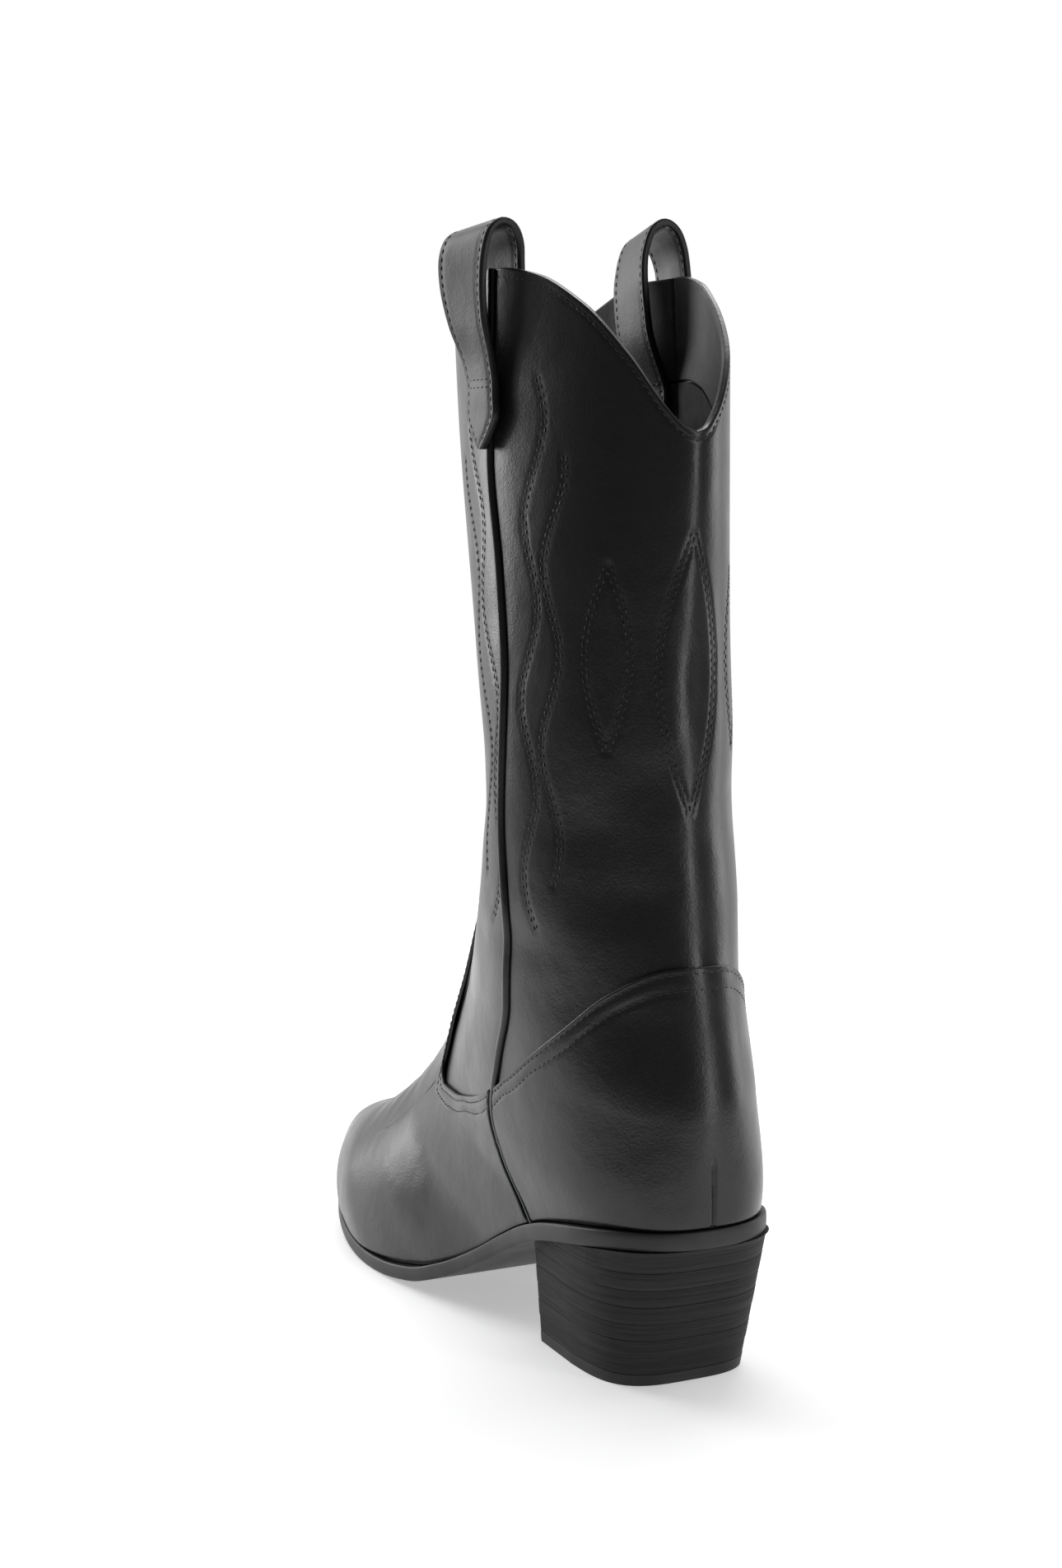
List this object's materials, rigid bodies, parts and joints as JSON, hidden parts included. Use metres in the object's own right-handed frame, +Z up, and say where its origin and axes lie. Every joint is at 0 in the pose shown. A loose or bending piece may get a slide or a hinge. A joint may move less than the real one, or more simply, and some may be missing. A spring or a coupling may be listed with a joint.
{
  "type": "cowboy boot",
  "caption": "Tall pointed western boot with a scalloped top, side pull straps, piped side seams and a stacked block heel; left foot.",
  "frame": {"origin": "on the ground, under the middle of the boot's bounding box", "axes": "+Z up the shaft, the toe points to -Y, +X is the wearer's left, which is the outer side of this left boot"},
  "size_m": [0.0916, 0.2851, 0.3789],
  "materials": {
    "upper_leather": "semi-gloss smooth black leather",
    "piping_leather": "semi-gloss black leather",
    "strap_leather": "semi-gloss smooth black leather, folded and stitched",
    "facing_leather": "matt dark grey leather",
    "lining_leather": "matt dark grey lining leather",
    "sock_leather": "matt dark grey leather",
    "backer_cloth": "woven cotton backer",
    "stiffener_board": "pressed stiffener sheet",
    "outsole_rubber": "satin black rubber",
    "top_lift_rubber": "matt black rubber",
    "heel_stack": "matt black stacked leather",
    "cork": "cork and glue filler",
    "insole_board": "pressed fibre board",
    "steel": "plain steel"
  },
  "bodies": {
    "root": {"vamp": "upper_leather", "heel_counter": "upper_leather", "shaft_front": "upper_leather", "shaft_back": "upper_leather", "vamp_backer": "backer_cloth", "toe_puff": "stiffener_board", "counter_stiffener": "stiffener_board", "top_facing_front": "facing_leather", "top_facing_back": "facing_leather", "shaft_lining_front": "lining_leather", "shaft_lining_back": "lining_leather", "vamp_lining": "lining_leather", "heel_lining": "lining_leather", "side_piping_outer": "piping_leather", "side_piping_inner": "piping_leather", "outsole": "outsole_rubber", "heel_top_lift": "top_lift_rubber", "heel_nails": "steel", "bottom_filler": "cork", "steel_shank": "steel", "insole_board": "insole_board", "sock_liner": "sock_leather", "heel_lift_1": "heel_stack", "heel_lift_2": "heel_stack", "heel_lift_3": "heel_stack", "heel_lift_4": "heel_stack", "heel_lift_5": "heel_stack", "heel_lift_6": "heel_stack", "heel_lift_7": "heel_stack", "pull_strap_outer_outer_leg": "strap_leather", "pull_strap_outer_inner_leg": "strap_leather", "pull_strap_inner_outer_leg": "strap_leather", "pull_strap_inner_inner_leg": "strap_leather"},
    "outer_strap": {"pull_strap_arch_outer": "strap_leather"},
    "inner_strap": {"pull_strap_arch_inner": "strap_leather"}
  },
  "joints": [
    {"name": "outer_strap_flop", "type": "hinge", "parent": "root", "child": "outer_strap", "pos_m": [0.0378, 0.0565, 0.364], "axis": [0, 1, 0], "range_deg": [-25, 25], "stiffness_Nm_per_rad": 0.02},
    {"name": "inner_strap_flop", "type": "hinge", "parent": "root", "child": "inner_strap", "pos_m": [-0.032, 0.0445, 0.364], "axis": [0, -1, 0], "range_deg": [-25, 25], "stiffness_Nm_per_rad": 0.02}
  ]
}
